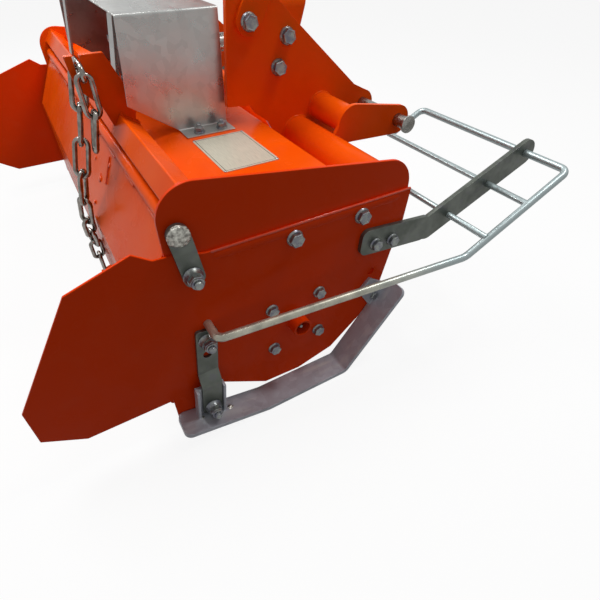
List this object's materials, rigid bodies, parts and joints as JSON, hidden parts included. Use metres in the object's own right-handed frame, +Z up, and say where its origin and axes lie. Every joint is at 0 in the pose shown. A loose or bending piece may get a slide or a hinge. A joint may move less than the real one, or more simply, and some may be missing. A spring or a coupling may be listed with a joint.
{
  "type": "tractor-mounted rotary tiller",
  "caption": "Light rotavator for a tractor's three-point linkage, with a tined rotor under a folded deck, a chained tail board, skids and rod guards.",
  "frame": {"origin": "on the ground at the skids' soles, at mid width and mid length", "axes": "+X forward in the direction of travel, +Y to the machine's left, +Z up"},
  "size_m": [0.928, 1.279, 0.872],
  "materials": {
    "orange_enamel": "glossy orange enamel",
    "zinc_plate": "electroplated zinc, satin",
    "galvanised_rod": "galvanised, slightly yellow",
    "galvanised_skid": "galvanised, satin, blue-grey",
    "galvanised_sheet": "galvanised sheet",
    "chain_zinc": "zinc plated, glossy",
    "plate_aluminium": "blank anodised plate",
    "gearbox_iron": "painted casting",
    "bright_steel": "machined steel",
    "rotor_paint": "orange enamel, worn",
    "forged_steel": "black painted forged steel"
  },
  "bodies": {
    "frame": {"chain_case": "orange_enamel", "chain_post": "orange_enamel", "deck": "orange_enamel", "drive_tube": "orange_enamel", "end_plate_left": "orange_enamel", "end_plate_right": "orange_enamel", "front_tube": "orange_enamel", "gearbox": "gearbox_iron", "gearbox_guard": "galvanised_sheet", "guard_arm_left": "zinc_plate", "guard_arm_right": "zinc_plate", "guard_loop_left": "galvanised_rod", "guard_loop_right": "galvanised_rod", "guard_stays": "galvanised_sheet", "hinge_pin_left": "zinc_plate", "hinge_pin_right": "zinc_plate", "hitch_pin_left": "bright_steel", "hitch_pin_right": "bright_steel", "hitch_plate_left": "orange_enamel", "hitch_plate_right": "orange_enamel", "hitch_tube_left": "orange_enamel", "hitch_tube_right": "orange_enamel", "mast_brace_left": "orange_enamel", "mast_brace_right": "orange_enamel", "mast_plate_left": "orange_enamel", "mast_plate_right": "orange_enamel", "mast_spacer": "orange_enamel", "mast_upright_left": "orange_enamel", "mast_upright_right": "orange_enamel", "name_plate": "plate_aluminium", "rear_tube": "orange_enamel", "rotor_bearing_left": "orange_enamel", "rotor_bearing_right": "orange_enamel", "side_shield_left": "orange_enamel", "side_shield_right": "orange_enamel", "skid_left": "galvanised_skid", "skid_right": "galvanised_skid", "skid_strap_left": "zinc_plate", "skid_strap_right": "zinc_plate", "tail_chain": "chain_zinc"},
    "rotor": {"rotor_shaft": "rotor_paint", "tines": "forged_steel"},
    "input_shaft": {"pto_shaft": "bright_steel"},
    "tailgate": {"tail_board": "orange_enamel", "tail_hinge_tube": "orange_enamel", "chain_lug": "orange_enamel"}
  },
  "joints": [
    {"name": "rotor_spin", "type": "hinge", "parent": "frame", "child": "rotor", "pos_m": [-0.047, 0, 0.139], "axis": [0, 1, 0], "continuous": true},
    {"name": "pto_input_spin", "type": "hinge", "parent": "frame", "child": "input_shaft", "pos_m": [0.05, 0, 0.455], "axis": [1, 0, 0], "continuous": true},
    {"name": "tail_board_hinge", "type": "hinge", "parent": "frame", "child": "tailgate", "pos_m": [-0.214, 0, 0.371], "axis": [0, 1, 0], "range_deg": [0, 45], "deforming": ["tail_chain"]}
  ],
  "couplings": [
    {"joint": "pto_input_spin", "follows": "rotor_spin", "ratio": 2.7}
  ]
}
